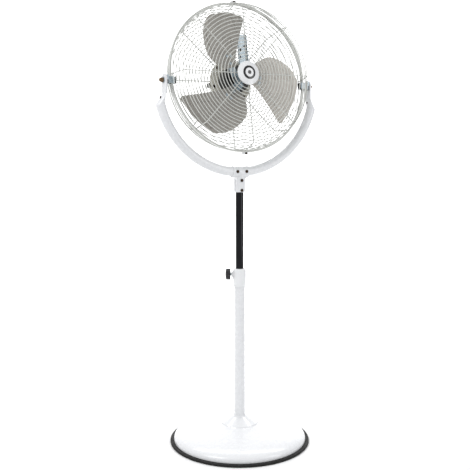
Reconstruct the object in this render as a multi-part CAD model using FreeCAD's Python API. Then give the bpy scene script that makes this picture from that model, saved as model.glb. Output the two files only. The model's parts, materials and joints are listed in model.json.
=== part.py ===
import FreeCAD, Part
import math
import os

# Pedestal fan. Millimetres, +Z up, origin on the floor under the middle of the base.
# The fan blows towards -Y and its head tilts about an axis along X.

Vec = FreeCAD.Vector
X_AXIS = Vec(1, 0, 0)
Y_AXIS = Vec(0, 1, 0)
Z_AXIS = Vec(0, 0, 1)
ORIGIN = Vec(0, 0, 0)

# Clearances
PIN_GAP = 0.08          # radial, a pin or a shaft in its hole
SLIDE_GAP = 0.1         # radial, a tube in its bush or collar
FACE_GAP = 0.3          # between faces that turn or slide past each other
SCREW_GAP = 0.2         # radial, a screw in its drilled hole

# Base
TRIM_RADIUS = 226.0
TRIM_HEIGHT = 8.0
TRIM_ROUND = 3.0
TRIM_FLOOR = 3.0        # rubber under the rim of the cover
TRIM_INNER_LIP = 4.0
COVER_RADIUS = TRIM_RADIUS - 12.0
COVER_WALL = 1.2
COVER_BOW = 0.65         # how far out the flat of the dome reaches
COVER_ROUND = 0.32      # how full the round shoulder is
COVER_RISE = 59.5       # height of the dome at the edge of the centre pad
COVER_TOP = 81.0
PAD_RADIUS = 60.0
PAD_STEP = 2.5
PLATE_HEIGHT = 12.0
PLATE_WALL = 1.5
WEIGHT_OUTER = COVER_RADIUS - 24.0
WEIGHT_INNER = 70.0
WEIGHT_THICK = 7.0
WEIGHT_SCREW_CIRCLE = 130.0
WEIGHT_SCREW_RADIUS = 3.0
WEIGHT_SCREW_HEAD = 5.5
WEIGHT_SCREW_HEAD_THICK = 3.0
COLUMN_RADIUS = 20.0
FOOT_BOLT_RADIUS = 6.0
FOOT_BOLT_HEAD = 19.0   # across flats
FOOT_BOLT_HEAD_THICK = 7.0
FOOT_WASHER_RADIUS = 17.0
FOOT_WASHER_THICK = 2.0
FOOT_RING_RADIUS = 20.5
FOOT_RING_HEIGHT = 5.0

# Pole
OUTER_TUBE_RADIUS = 17.5
OUTER_TUBE_WALL = 1.5
OUTER_TUBE_TOP = 532.0
PLUG_HEIGHT = 14.0
COLLAR_BOTTOM = OUTER_TUBE_TOP - 22.5
COLLAR_TOP = OUTER_TUBE_TOP + 34.5
COLLAR_RADIUS = 20.4
COLLAR_BULGE = 0.9
COLLAR_LIP = 1.3
COLLAR_LIP_HEIGHT = 4.0
INNER_TUBE_RADIUS = 12.5
INNER_TUBE_WALL = 1.2
INNER_TUBE_BOTTOM = OUTER_TUBE_TOP - 172.0
BUSH_LENGTH = 35.0
BUSH_RING_RADIUS = 15.0
BUSH_RING_THICK = 2.0

# Clamp knob
KNOB_HEIGHT = OUTER_TUBE_TOP + 16.0
KNOB_ANGLE = 151.5      # degrees from +X about the pole
KNOB_RADIUS = 18.0
KNOB_LENGTH = 17.0
KNOB_REACH = 29.0       # pole axis to the near face of the knob
KNOB_GRIPS = 8
KNOB_GRIP_RADIUS = 3.4
STUD_RADIUS = 4.0
PAD_DISC_RADIUS = 4.5
PAD_DISC_THICK = 2.2
BOSS_RADIUS = 9.5
BOSS_REACH = 26.5
INSERT_RADIUS = 6.2
INSERT_LENGTH = 9.5

# Yoke
RIM_RADIUS = 231.5      # middle of the wire at the rim of the cage
PIVOT_HEIGHT = 1148.0
YOKE_RADIUS = RIM_RADIUS + 44.0
YOKE_DROP = -1.0         # centre of the yoke's arc below the tilt axis
YOKE_TUBE_RADIUS = 15.0
YOKE_TUBE_WALL = 2.0
YOKE_END_ANGLE = 15.0   # the arc stops this far below the horizontal
TAB_CENTRE = RIM_RADIUS + 21.0
TAB_THICK = 4.6
TAB_HALF_WIDTH = 18.0
TAB_FOOT = 41.0         # tilt axis to the foot of the flat tab
TAB_RIVET_RADIUS = 3.2
TAB_RIVET_DROP = 52.0

# Neck bracket
NECK_BOTTOM = PIVOT_HEIGHT - YOKE_DROP - YOKE_RADIUS - 63.0
NECK_WALL = 2.7
NECK_BAR_HALF = 28.0
NECK_SPLIT = 1.6        # gap between the two half shells
NECK_WEB_DEPTH = 9.0
NECK_FILLET = 11.0
NECK_SCREW_RADIUS = 2.5
NECK_SCREW_HEAD = 5.0
NECK_SCREW_HEAD_THICK = 3.0
NECK_SCREW_SPREAD = 16.0
NECK_SCREW_UPPER = NECK_BOTTOM + 37.0
NECK_SCREW_LOWER = NECK_BOTTOM + 6.0
NECK_NUT_FLATS = 8.0
NECK_NUT_THICK = 4.0

# Head
TILT = 9.6              # degrees, nose up, as it stands
CAGE_RISE = 18.0        # axis of the cage above the tilt axis
FRONT_FACE = 60.0       # ring plane at the outer edge, ahead of the rim
FRONT_CENTRE = 56.0
REAR_FACE = 67.0
REAR_CENTRE = 64.0
EDGE_RADIUS = RIM_RADIUS - 14.5
RIM_OFFSET = 2.2
RIM_WIRE = 2.0
RING_WIRE = 1.35
SPOKE_WIRE = 1.6
WELD_DEPTH = 0.5
RING_START = 47.0
RING_COUNT = 16
RING_PITCH = (EDGE_RADIUS - 9.5 - RING_START) / (RING_COUNT - 1)
REAR_RING_START = 78.0
REAR_RING_COUNT = 13
SPOKE_COUNT = 8
SIDE_RING_COUNT = 3
CORNER_RADIUS = 12.0
FRONT_EYE = 34.0
REAR_EYE = 66.0
HOOP_HALF_WIDTH = 5.6
HOOP_WALL = 1.2
HOOP_DEPTH = 5.0
CLIP_WIDTH = 16.0
CLIP_HEIGHT = 6.0
CLIP_SCREW_RADIUS = 2.0
CLIP_SCREW_HEAD = 3.6

# Centre cap
CAP_RADIUS = 36.2
CAP_DEPTH = 11.0
CAP_EDGE = 4.0
CAP_BOSS_RADIUS = 7.0
CAP_PLATE_RADIUS = 30.0
CAP_PLATE_THICK = 1.5
CAP_SCREW_RADIUS = 2.5
CAP_SCREW_HEAD = 5.0

# Pivots of the head
PIVOT_BOLT_RADIUS = 4.0
PIVOT_HEAD_RADIUS = 8.0
PIVOT_HEAD_THICK = 2.5
BRACKET_WALL = 2.0
BRACKET_HALF_HEIGHT = 13.0
BRACKET_HALF_DEPTH = 12.0
RUBBER_THICK = 4.6
CLAMP_PLATE_THICK = 2.5
CLAMP_REACH = RIM_RADIUS - 13.5     # fan axis to the inner end of the pivot clamp
CLAMP_CAP_THICK = 4.0   # rubber on the inner end of the clamp
PIVOT_WASHER_RADIUS = 9.0
PIVOT_WASHER_THICK = 1.5
ACORN_FLATS = 13.0
ACORN_HEX = 6.5
ACORN_LENGTH = 13.0

# Motor
CAN_RADIUS = 43.0
CAN_FRONT = 14.0
CAN_WALL = 2.0
NOSE_RADIUS = 14.0
NOSE_LENGTH = 7.0
BEARING_RADIUS = 11.0
BEARING_WIDTH = 6.0
SHAFT_RADIUS = 4.0
SHAFT_FRONT = -24.0
STATOR_FRONT = 22.0
STATOR_LENGTH = 22.0
STATOR_BORE = 23.0
AIR_GAP = 0.4
WINDING_DEPTH = 5.0
WINDING_INNER = 26.0
WINDING_OUTER = 38.0
MOUNT_RADIUS = 72.0
MOUNT_WALL = 2.0
MOUNT_SCREW_CIRCLE = 62.0
MOUNT_SCREW_COUNT = 6
MOUNT_SCREW_START = 14.0
MOUNT_SCREW_RADIUS = 2.5
MOUNT_SCREW_HEAD = 4.6
HOUSING_RADIUS = 55.0
HOUSING_LENGTH = 40.0
HOUSING_WALL = 2.0
HOUSING_FLANGE = 68.0
HOUSING_ROUND = 8.0
BRACKET_SIDE = 51.0     # middle of the side bracket, to the right of the fan axis
BRACKET_BOTTOM = 40.0
BRACKET_TOP = 156.0
BRACKET_HALF_WIDTH = 16.0
BRACKET_SHEET = 1.6
BRACKET_FLANGE = 9.0
BRACKET_FOOT = 12.0
BRACKET_SCREW_RADIUS = 2.0
BRACKET_SCREW_HEAD = 3.8
BRACKET_SCREWS = ((41.0, 150.0), (60.0, 119.0), (44.0, 107.0), (41.0, 84.0), (43.0, 46.0))
CAPACITOR_SIZE = (38.0, 18.0, 22.0)
CAPACITOR_SIDE = 26.0
SWITCH_SIZE = 26.0
SWITCH_DEPTH = 14.0
SWITCH_STEM_RADIUS = 3.0
SWITCH_DROP = 16.0
DIAL_RADIUS = 15.0
DIAL_LENGTH = 13.0
GLAND_RADIUS = 7.5
GLAND_LENGTH = 18.0
GLAND_BORE = 3.5
GLAND_ANGLE = 186.0

# Fan
BLADE_COUNT = 3
BLADE_START = 106.5     # degrees, first blade, seen from the front
BLADE_TIP = RIM_RADIUS - 25.5
BLADE_DRAWN_TIP = 206.0  # tip radius that the outline's points are given for
BLADE_THICK = 1.2
BLADE_PLANE = 3.4
BLADE_ROOT_PITCH = 12.5
BLADE_TIP_PITCH = 12.0
BLADE_PITCH_START = 55.0
BLADE_CAMBER = 4.8
RIB_HEIGHT = 1.0
RIB_WIDTH = 0.86        # inner outline of the rib as a share of the outer one
ARM_PLATE_THICK = 2.5
SPIDER_REACH = 86.0
SPIDER_LOW = 0.0
SPIDER_HIGH = 26.0
HUB_RADIUS = 20.0
HUB_FRONT = -20.0
HUB_BACK = 5.0
RIVET_RADIUS = 3.0
RIVET_HOLE = 9.0        # length of the drill, longer than the sheets are thick
RIVET_SPOTS = ((48.0, 14.0), (72.0, 4.0), (72.0, 19.0))


# ---------------------------------------------------------------- helpers

def cylinder(radius, length, base, axis):
    return Part.makeCylinder(radius, length, base, axis)


def tube(outer, inner, length, base, axis):
    solid = cylinder(outer, length, base, axis)
    return solid.cut(cylinder(inner, length, base, axis))


def box(x_low, x_high, y_low, y_high, z_low, z_high):
    corner = Vec(x_low, y_low, z_low)
    return Part.makeBox(x_high - x_low, y_high - y_low, z_high - z_low, corner)


def hexagon(flats, length, base, axis):
    circumradius = flats / math.sqrt(3)
    points = []
    for step in range(7):
        angle = math.radians(60 * step)
        points.append(Vec(circumradius * math.cos(angle), circumradius * math.sin(angle), 0))
    prism = Part.Face(Part.makePolygon(points)).extrude(Vec(0, 0, length))
    prism.Placement = FreeCAD.Placement(base, FreeCAD.Rotation(Z_AXIS, axis))
    return prism


def lathe(points, centre, axis):
    """Turns a closed outline of (radius, height) points about an axis."""
    outline = [Vec(radius, 0, height) for radius, height in points]
    outline.append(outline[0])
    solid = Part.Face(Part.makePolygon(outline)).revolve(ORIGIN, Z_AXIS, 360)
    solid.Placement = FreeCAD.Placement(centre, FreeCAD.Rotation(Z_AXIS, axis))
    return solid


def dome(radius, edge, height, base, axis):
    """A disc with a short straight edge and a spherical top."""
    rise = height - edge
    sphere = (radius ** 2 + rise ** 2) / (2 * rise)
    half_turn = math.asin(radius / sphere) / 2
    start = Vec(0, 0, 0)
    foot = Vec(radius, 0, 0)
    shoulder = Vec(radius, 0, edge)
    top = Vec(0, 0, height)
    middle = Vec(sphere * math.sin(half_turn), 0, height - sphere * (1 - math.cos(half_turn)))
    edges = [Part.LineSegment(start, foot).toShape()]
    edges.append(Part.LineSegment(foot, shoulder).toShape())
    edges.append(Part.Arc(shoulder, middle, top).toShape())
    edges.append(Part.LineSegment(top, start).toShape())
    solid = Part.Face(Part.Wire(edges)).revolve(ORIGIN, Z_AXIS, 360)
    solid.Placement = FreeCAD.Placement(base, FreeCAD.Rotation(Z_AXIS, axis))
    return solid


def fuse(shapes):
    return shapes[0].multiFuse(shapes[1:])


def cut_all(shape, tools):
    for tool in tools:
        shape = shape.cut(tool)
    return shape


def moved(shape, offset):
    copy = shape.copy()
    copy.translate(offset)
    return copy


def turned(shape, centre, axis, angle):
    copy = shape.copy()
    copy.rotate(centre, axis, angle)
    return copy


def save(name, shape):
    shape.exportStep("parts/" + name + ".step")


def save_group(name, shapes):
    save(name, Part.makeCompound(shapes))


# ---------------------------------------------------------------- base

def cover_point(share):
    """A point on the outside of the dome: share 0 at the rim, 1 at the pad."""
    climb = math.sin(math.radians(90 * share))
    inwards = (1 - climb ** (1 / COVER_ROUND)) ** (1 / COVER_BOW)
    radius = PAD_RADIUS + (COVER_RADIUS - PAD_RADIUS) * inwards
    return Vec(radius, 0, TRIM_HEIGHT + (COVER_RISE - TRIM_HEIGHT) * climb)


def cover_curve(offset):
    """Outline of the dome from the rim to the pad, moved inwards by a wall."""
    count = 14
    points = []
    for step in range(count + 1):
        share = step / count
        before = cover_point(max(0, share - 0.002))
        after = cover_point(min(1, share + 0.002))
        along = (after - before).normalize()
        points.append(cover_point(share) + Vec(-along.z, 0, along.x) * offset)
    points[0] = Vec(COVER_RADIUS - offset, 0, TRIM_HEIGHT)
    points[-1] = Vec(PAD_RADIUS - offset, 0, COVER_RISE - offset)
    curve = Part.BSplineCurve()
    curve.interpolate(points)
    return curve


def make_base_cover():
    outer = cover_curve(0)
    inner = cover_curve(COVER_WALL)
    drop = COVER_WALL
    crown = [Vec(PAD_RADIUS, 0, COVER_RISE)]
    crown.append(Vec(PAD_RADIUS - 2, 0, COVER_RISE + PAD_STEP))
    crown.append(Vec(COLUMN_RADIUS + 2, 0, COVER_TOP))
    crown.append(Vec(0, 0, COVER_TOP))
    crown.append(Vec(0, 0, COVER_TOP - drop))
    crown.append(Vec(COLUMN_RADIUS + 2, 0, COVER_TOP - drop))
    crown.append(Vec(PAD_RADIUS - 2 - drop, 0, COVER_RISE + PAD_STEP - drop))
    crown.append(Vec(PAD_RADIUS - drop, 0, COVER_RISE - drop))
    edges = [outer.toShape()]
    for first, second in zip(crown[:-1], crown[1:]):
        edges.append(Part.LineSegment(first, second).toShape())
    edges.append(inner.toShape())
    skirt = [inner.value(inner.FirstParameter), Vec(COVER_RADIUS - COVER_WALL, 0, TRIM_FLOOR)]
    skirt.append(Vec(COVER_RADIUS, 0, TRIM_FLOOR))
    skirt.append(outer.value(outer.FirstParameter))
    for first, second in zip(skirt[:-1], skirt[1:]):
        edges.append(Part.LineSegment(first, second).toShape())
    profile = Part.Face(Part.Wire(Part.__sortEdges__(edges)))
    shell = profile.revolve(ORIGIN, Z_AXIS, 360)
    hole = cylinder(FOOT_BOLT_RADIUS + SCREW_GAP, COVER_TOP, ORIGIN, Z_AXIS)
    return shell.cut(hole)


def make_edge_trim():
    inner = COVER_RADIUS - COVER_WALL - TRIM_INNER_LIP
    points = [(inner, 0), (TRIM_RADIUS - TRIM_ROUND, 0)]
    for step in range(1, 6):
        angle = math.radians(-90 + 15 * step)
        reach = TRIM_RADIUS - TRIM_ROUND + TRIM_ROUND * math.cos(angle)
        points.append((reach, TRIM_ROUND + TRIM_ROUND * math.sin(angle)))
    points.append((TRIM_RADIUS, TRIM_ROUND))
    points.append((TRIM_RADIUS, TRIM_HEIGHT - TRIM_ROUND))
    for step in range(1, 6):
        angle = math.radians(15 * step)
        reach = TRIM_RADIUS - TRIM_ROUND + TRIM_ROUND * math.cos(angle)
        points.append((reach, TRIM_HEIGHT - TRIM_ROUND + TRIM_ROUND * math.sin(angle)))
    points.append((TRIM_RADIUS - TRIM_ROUND, TRIM_HEIGHT))
    points.append((COVER_RADIUS, TRIM_HEIGHT))
    points.append((COVER_RADIUS, TRIM_FLOOR))
    points.append((COVER_RADIUS - COVER_WALL, TRIM_FLOOR))
    points.append((COVER_RADIUS - COVER_WALL, TRIM_FLOOR + 1))
    points.append((inner, PLATE_HEIGHT))
    return lathe(points, ORIGIN, Z_AXIS)


def weight_screw_spots():
    spots = []
    for step in range(3):
        angle = math.radians(90 + 120 * step)
        spots.append((WEIGHT_SCREW_CIRCLE * math.cos(angle), WEIGHT_SCREW_CIRCLE * math.sin(angle)))
    return spots


def make_base_plate():
    base = Vec(0, 0, PLATE_HEIGHT)
    radius = COVER_RADIUS - COVER_WALL - TRIM_INNER_LIP + 2
    plate = tube(radius, FOOT_BOLT_RADIUS + SCREW_GAP, PLATE_WALL, base, Z_AXIS)
    holes = []
    for x, y in weight_screw_spots():
        holes.append(cylinder(WEIGHT_SCREW_RADIUS + SCREW_GAP, PLATE_WALL, Vec(x, y, PLATE_HEIGHT), Z_AXIS))
    return cut_all(plate, holes)


def make_base_weight():
    base = Vec(0, 0, PLATE_HEIGHT + PLATE_WALL)
    weight = tube(WEIGHT_OUTER, WEIGHT_INNER, WEIGHT_THICK, base, Z_AXIS)
    holes = []
    for x, y in weight_screw_spots():
        holes.append(cylinder(WEIGHT_SCREW_RADIUS + SCREW_GAP, WEIGHT_THICK, Vec(x, y, base.z), Z_AXIS))
    return cut_all(weight, holes)


def make_weight_screws():
    top = PLATE_HEIGHT + PLATE_WALL + WEIGHT_THICK
    screws = []
    for x, y in weight_screw_spots():
        shank = cylinder(WEIGHT_SCREW_RADIUS, top - PLATE_HEIGHT, Vec(x, y, PLATE_HEIGHT), Z_AXIS)
        head = cylinder(WEIGHT_SCREW_HEAD, WEIGHT_SCREW_HEAD_THICK, Vec(x, y, top), Z_AXIS)
        screws.append(shank.fuse(head))
    return screws


def make_base_column():
    bottom = PLATE_HEIGHT + PLATE_WALL
    length = COVER_TOP - COVER_WALL - bottom
    return tube(COLUMN_RADIUS, FOOT_BOLT_RADIUS + SCREW_GAP, length, Vec(0, 0, bottom), Z_AXIS)


def make_foot_washer():
    base = Vec(0, 0, PLATE_HEIGHT - FOOT_WASHER_THICK)
    return tube(FOOT_WASHER_RADIUS, FOOT_BOLT_RADIUS + SCREW_GAP, FOOT_WASHER_THICK, base, Z_AXIS)


def make_foot_bolt():
    head_top = PLATE_HEIGHT - FOOT_WASHER_THICK
    head = hexagon(FOOT_BOLT_HEAD, FOOT_BOLT_HEAD_THICK, Vec(0, 0, head_top - FOOT_BOLT_HEAD_THICK), Z_AXIS)
    length = COVER_TOP + PLUG_HEIGHT + 3 - head_top
    return head.fuse(cylinder(FOOT_BOLT_RADIUS, length, Vec(0, 0, head_top), Z_AXIS))


def make_foot_ring():
    points = [(OUTER_TUBE_RADIUS, COVER_TOP), (FOOT_RING_RADIUS, COVER_TOP)]
    points.append((FOOT_RING_RADIUS - 0.8, COVER_TOP + FOOT_RING_HEIGHT * 0.4))
    points.append((OUTER_TUBE_RADIUS + 0.8, COVER_TOP + FOOT_RING_HEIGHT))
    points.append((OUTER_TUBE_RADIUS, COVER_TOP + FOOT_RING_HEIGHT))
    return lathe(points, ORIGIN, Z_AXIS)


# ---------------------------------------------------------------- pole

def make_outer_tube():
    length = OUTER_TUBE_TOP - COVER_TOP
    inner = OUTER_TUBE_RADIUS - OUTER_TUBE_WALL
    return tube(OUTER_TUBE_RADIUS, inner, length, Vec(0, 0, COVER_TOP), Z_AXIS)


def make_tube_plug():
    inner = OUTER_TUBE_RADIUS - OUTER_TUBE_WALL
    return tube(inner, FOOT_BOLT_RADIUS, PLUG_HEIGHT, Vec(0, 0, COVER_TOP), Z_AXIS)


def knob_direction():
    angle = math.radians(KNOB_ANGLE)
    return Vec(math.cos(angle), math.sin(angle), 0)


def knob_point(reach):
    return knob_direction() * reach + Vec(0, 0, KNOB_HEIGHT)


def pad_reach():
    return INNER_TUBE_RADIUS + FACE_GAP


def make_clamp_collar():
    bore = INNER_TUBE_RADIUS + SLIDE_GAP
    middle = (COLLAR_BOTTOM + COLLAR_TOP) / 2
    points = [(OUTER_TUBE_RADIUS, COLLAR_BOTTOM), (COLLAR_RADIUS + COLLAR_LIP, COLLAR_BOTTOM)]
    points.append((COLLAR_RADIUS + COLLAR_LIP, COLLAR_BOTTOM + COLLAR_LIP_HEIGHT))
    points.append((COLLAR_RADIUS, COLLAR_BOTTOM + COLLAR_LIP_HEIGHT + 1))
    points.append((COLLAR_RADIUS + COLLAR_BULGE, middle))
    points.append((COLLAR_RADIUS + COLLAR_BULGE / 2, COLLAR_TOP - 8))
    points.append((COLLAR_RADIUS - 0.6, COLLAR_TOP - 2))
    points.append((COLLAR_RADIUS - 2.6, COLLAR_TOP))
    points.append((bore, COLLAR_TOP))
    points.append((bore, OUTER_TUBE_TOP))
    points.append((OUTER_TUBE_RADIUS, OUTER_TUBE_TOP))
    body = lathe(points, ORIGIN, Z_AXIS)
    boss = cylinder(BOSS_RADIUS, BOSS_REACH - bore - 2, knob_point(bore + 2), knob_direction())
    body = body.fuse(boss)
    pad_hole = cylinder(PAD_DISC_RADIUS + FACE_GAP, BOSS_REACH, knob_point(0), knob_direction())
    pocket = cylinder(INSERT_RADIUS, INSERT_LENGTH, knob_point(BOSS_REACH - INSERT_LENGTH), knob_direction())
    inner = cylinder(bore, COLLAR_TOP - OUTER_TUBE_TOP, Vec(0, 0, OUTER_TUBE_TOP), Z_AXIS)
    return cut_all(body, [pad_hole, pocket, inner])


def make_collar_insert():
    base = knob_point(BOSS_REACH - INSERT_LENGTH)
    return tube(INSERT_RADIUS, STUD_RADIUS + PIN_GAP, INSERT_LENGTH, base, knob_direction())


def make_clamp_pad():
    return cylinder(PAD_DISC_RADIUS, PAD_DISC_THICK, knob_point(pad_reach()), knob_direction())


def make_knob_stud():
    start = pad_reach() + PAD_DISC_THICK + FACE_GAP
    return cylinder(STUD_RADIUS, KNOB_REACH + 6 - start, knob_point(start), knob_direction())


def make_knob_grip():
    body = dome(KNOB_RADIUS, KNOB_LENGTH * 0.82, KNOB_LENGTH, knob_point(KNOB_REACH), knob_direction())
    neck = cylinder(STUD_RADIUS, 6, knob_point(KNOB_REACH), knob_direction())
    body = body.cut(neck)
    side = knob_direction().cross(Z_AXIS)
    grooves = []
    for step in range(KNOB_GRIPS):
        angle = math.radians(360.0 / KNOB_GRIPS * (step + 0.5))
        reach = KNOB_RADIUS + KNOB_GRIP_RADIUS * 0.45
        offset = side * (reach * math.cos(angle)) + Z_AXIS * (reach * math.sin(angle))
        base = knob_point(KNOB_REACH) + offset
        grooves.append(cylinder(KNOB_GRIP_RADIUS, KNOB_LENGTH, base, knob_direction()))
    return cut_all(body, grooves)


def make_guide_bush():
    outer = OUTER_TUBE_RADIUS - OUTER_TUBE_WALL - SLIDE_GAP
    return tube(outer, INNER_TUBE_RADIUS + PIN_GAP, BUSH_LENGTH, Vec(0, 0, INNER_TUBE_BOTTOM), Z_AXIS)


def make_bush_ring():
    bottom = INNER_TUBE_BOTTOM + BUSH_LENGTH + FACE_GAP
    return tube(BUSH_RING_RADIUS, INNER_TUBE_RADIUS, BUSH_RING_THICK, Vec(0, 0, bottom), Z_AXIS)


def make_tube_end():
    inner = INNER_TUBE_RADIUS - INNER_TUBE_WALL
    seat = INNER_TUBE_BOTTOM - FACE_GAP
    flange = cylinder(BUSH_RING_RADIUS, BUSH_RING_THICK, Vec(0, 0, seat - BUSH_RING_THICK), Z_AXIS)
    spigot = cylinder(inner, 14, Vec(0, 0, seat), Z_AXIS)
    return flange.fuse(spigot)


def yoke_bottom():
    return PIVOT_HEIGHT - YOKE_DROP - YOKE_RADIUS


def neck_screw_spots():
    """Each screw: x, z, the radius of the shell it sits on."""
    bar = YOKE_TUBE_RADIUS + NECK_WALL
    neck = INNER_TUBE_RADIUS + NECK_WALL
    spots = [(-NECK_SCREW_SPREAD, yoke_bottom() + 2, bar), (NECK_SCREW_SPREAD, yoke_bottom() + 2, bar)]
    spots.append((0, NECK_SCREW_UPPER, neck))
    spots.append((0, NECK_SCREW_LOWER, neck))
    return spots


def neck_drills():
    drills = []
    for x, z, seat in neck_screw_spots():
        drills.append(cylinder(NECK_SCREW_RADIUS + SCREW_GAP, 4 * seat, Vec(x, -2 * seat, z), Y_AXIS))
    return drills


def make_inner_tube():
    bottom = INNER_TUBE_BOTTOM - FACE_GAP
    top = yoke_bottom() - YOKE_TUBE_RADIUS - 1
    inner = INNER_TUBE_RADIUS - INNER_TUBE_WALL
    body = tube(INNER_TUBE_RADIUS, inner, top - bottom, Vec(0, 0, bottom), Z_AXIS)
    return cut_all(body, neck_drills())


def yoke_arc(outer, inner, start, sweep):
    """Part of the bent tube, from a start angle in degrees at the lowest point."""
    centre = Vec(0, 0, PIVOT_HEIGHT - YOKE_DROP)
    ring = Part.makeCircle(outer, Vec(0, 0, yoke_bottom()), X_AXIS)
    face = Part.Face(Part.Wire(ring))
    if inner > 0:
        hole = Part.makeCircle(inner, Vec(0, 0, yoke_bottom()), X_AXIS)
        face = face.cut(Part.Face(Part.Wire(hole)))
    face.rotate(centre, Y_AXIS, start)
    return face.revolve(centre, Y_AXIS, sweep)


def facing_y(shape, centre, normal):
    """Places a flat outline so that its own X runs along Y."""
    wire = Part.Wire(shape)
    turn = FreeCAD.Rotation(Y_AXIS, normal.cross(Y_AXIS), normal, "XYZ")
    wire.Placement = FreeCAD.Placement(centre, turn)
    return wire


def make_yoke_end(side):
    """The crimped end of the tube and its flat tab, on one side."""
    drop = math.radians(YOKE_END_ANGLE)
    centre_height = PIVOT_HEIGHT - YOKE_DROP
    end = Vec(side * YOKE_RADIUS * math.cos(drop), 0, centre_height - YOKE_RADIUS * math.sin(drop))
    along = Vec(side * math.sin(drop), 0, math.cos(drop))
    foot = Vec(side * TAB_CENTRE, 0, PIVOT_HEIGHT - TAB_FOOT + 4)
    lean = Vec(-side * 0.25, 0, 1).normalize()
    first = facing_y(Part.makeCircle(YOKE_TUBE_RADIUS, ORIGIN, Z_AXIS), end, along)
    flat = Part.Ellipse(ORIGIN, TAB_HALF_WIDTH, TAB_THICK / 2).toShape()
    second = facing_y(flat, foot, lean)
    crimp = Part.makeLoft([first, second], True, True)
    plate = box(TAB_CENTRE - TAB_THICK / 2, TAB_CENTRE + TAB_THICK / 2,
                -TAB_HALF_WIDTH, TAB_HALF_WIDTH, PIVOT_HEIGHT - TAB_FOOT, PIVOT_HEIGHT)
    start = Vec(TAB_CENTRE - TAB_THICK / 2, 0, PIVOT_HEIGHT)
    crown = cylinder(TAB_HALF_WIDTH, TAB_THICK, start, X_AXIS)
    tab = plate.fuse(crown)
    if side < 0:
        tab = tab.mirror(ORIGIN, X_AXIS)
    hole_start = Vec(side * (TAB_CENTRE - TAB_THICK), 0, PIVOT_HEIGHT)
    hole = cylinder(PIVOT_BOLT_RADIUS + PIN_GAP, 2 * TAB_THICK, hole_start, X_AXIS * side)
    return crimp.fuse(tab).cut(hole)


def rivet_point(side):
    """A point on the middle of the crimped end of the yoke."""
    end_reach = YOKE_RADIUS * math.cos(math.radians(YOKE_END_ANGLE))
    end_height = PIVOT_HEIGHT - YOKE_DROP - YOKE_RADIUS * math.sin(math.radians(YOKE_END_ANGLE))
    height = PIVOT_HEIGHT - TAB_RIVET_DROP
    share = (height - end_height) / (PIVOT_HEIGHT - TAB_FOOT + 4 - end_height)
    return Vec(side * (end_reach + (TAB_CENTRE - end_reach) * share), 0, height)


def make_yoke():
    sweep = 2 * (90 - YOKE_END_ANGLE)
    inner = YOKE_TUBE_RADIUS - YOKE_TUBE_WALL
    bend = yoke_arc(YOKE_TUBE_RADIUS, inner, -sweep / 2, sweep)
    body = fuse([bend, make_yoke_end(1), make_yoke_end(-1)])
    return cut_all(body, neck_drills() + make_yoke_rivets())


def make_yoke_rivets():
    rivets = []
    for side in (1, -1):
        start = rivet_point(side) - X_AXIS * side * 8
        shank = cylinder(TAB_RIVET_RADIUS, 15, start, X_AXIS * side)
        head = dome(TAB_RIVET_RADIUS + 2, 0.8, 2.4, start + X_AXIS * side * 15, X_AXIS * side)
        rivets.append(shank.fuse(head))
    return rivets


# ---------------------------------------------------------------- neck bracket

def neck_web():
    """Flat webs that join the neck and the bar of the T with round corners."""
    half = INNER_TUBE_RADIUS + NECK_WALL
    bar_bottom = yoke_bottom() - YOKE_TUBE_RADIUS - NECK_WALL * 0.4
    top = yoke_bottom() + YOKE_TUBE_RADIUS * 0.4
    corner = NECK_FILLET
    edges = []
    right_low = Vec(half, 0, NECK_BOTTOM)
    right_bend = Vec(half, 0, bar_bottom - corner)
    right_out = Vec(half + corner, 0, bar_bottom)
    right_mid = Vec(half + corner * (1 - math.sqrt(0.5)), 0, bar_bottom - corner * (1 - math.sqrt(0.5)))
    right_end = Vec(NECK_BAR_HALF, 0, bar_bottom)
    right_top = Vec(NECK_BAR_HALF, 0, top)
    edges.append(Part.LineSegment(right_low, right_bend).toShape())
    edges.append(Part.Arc(right_bend, right_mid, right_out).toShape())
    edges.append(Part.LineSegment(right_out, right_end).toShape())
    edges.append(Part.LineSegment(right_end, right_top).toShape())
    left_top = Vec(0, 0, top)
    left_low = Vec(0, 0, NECK_BOTTOM)
    edges.append(Part.LineSegment(right_top, left_top).toShape())
    edges.append(Part.LineSegment(left_top, left_low).toShape())
    edges.append(Part.LineSegment(left_low, right_low).toShape())
    face = Part.Face(Part.Wire(edges))
    face.translate(Vec(0, -NECK_WEB_DEPTH, 0))
    half_web = face.extrude(Vec(0, 2 * NECK_WEB_DEPTH, 0))
    return half_web.fuse(half_web.mirror(ORIGIN, X_AXIS))


def bar_sweep():
    return math.degrees(NECK_BAR_HALF / YOKE_RADIUS)


def make_neck_bracket():
    neck = INNER_TUBE_RADIUS + NECK_WALL
    post = cylinder(neck, yoke_bottom() - NECK_BOTTOM, Vec(0, 0, NECK_BOTTOM), Z_AXIS)
    bar = yoke_arc(YOKE_TUBE_RADIUS + NECK_WALL, 0, -bar_sweep(), 2 * bar_sweep())
    block = fuse([post, bar, neck_web()])
    yoke_space = yoke_arc(YOKE_TUBE_RADIUS, 0, -2 * bar_sweep(), 4 * bar_sweep())
    tube_space = cylinder(INNER_TUBE_RADIUS, yoke_bottom() - NECK_BOTTOM, Vec(0, 0, NECK_BOTTOM), Z_AXIS)
    slit = box(-60, 60, -NECK_SPLIT / 2, NECK_SPLIT / 2, NECK_BOTTOM - 10, yoke_bottom() + 60)
    block = cut_all(block, [yoke_space, tube_space, slit] + neck_drills())
    front = block.common(box(-60, 60, -60, 0, NECK_BOTTOM - 10, yoke_bottom() + 60))
    rear = block.common(box(-60, 60, 0, 60, NECK_BOTTOM - 10, yoke_bottom() + 60))
    return front, rear


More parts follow.
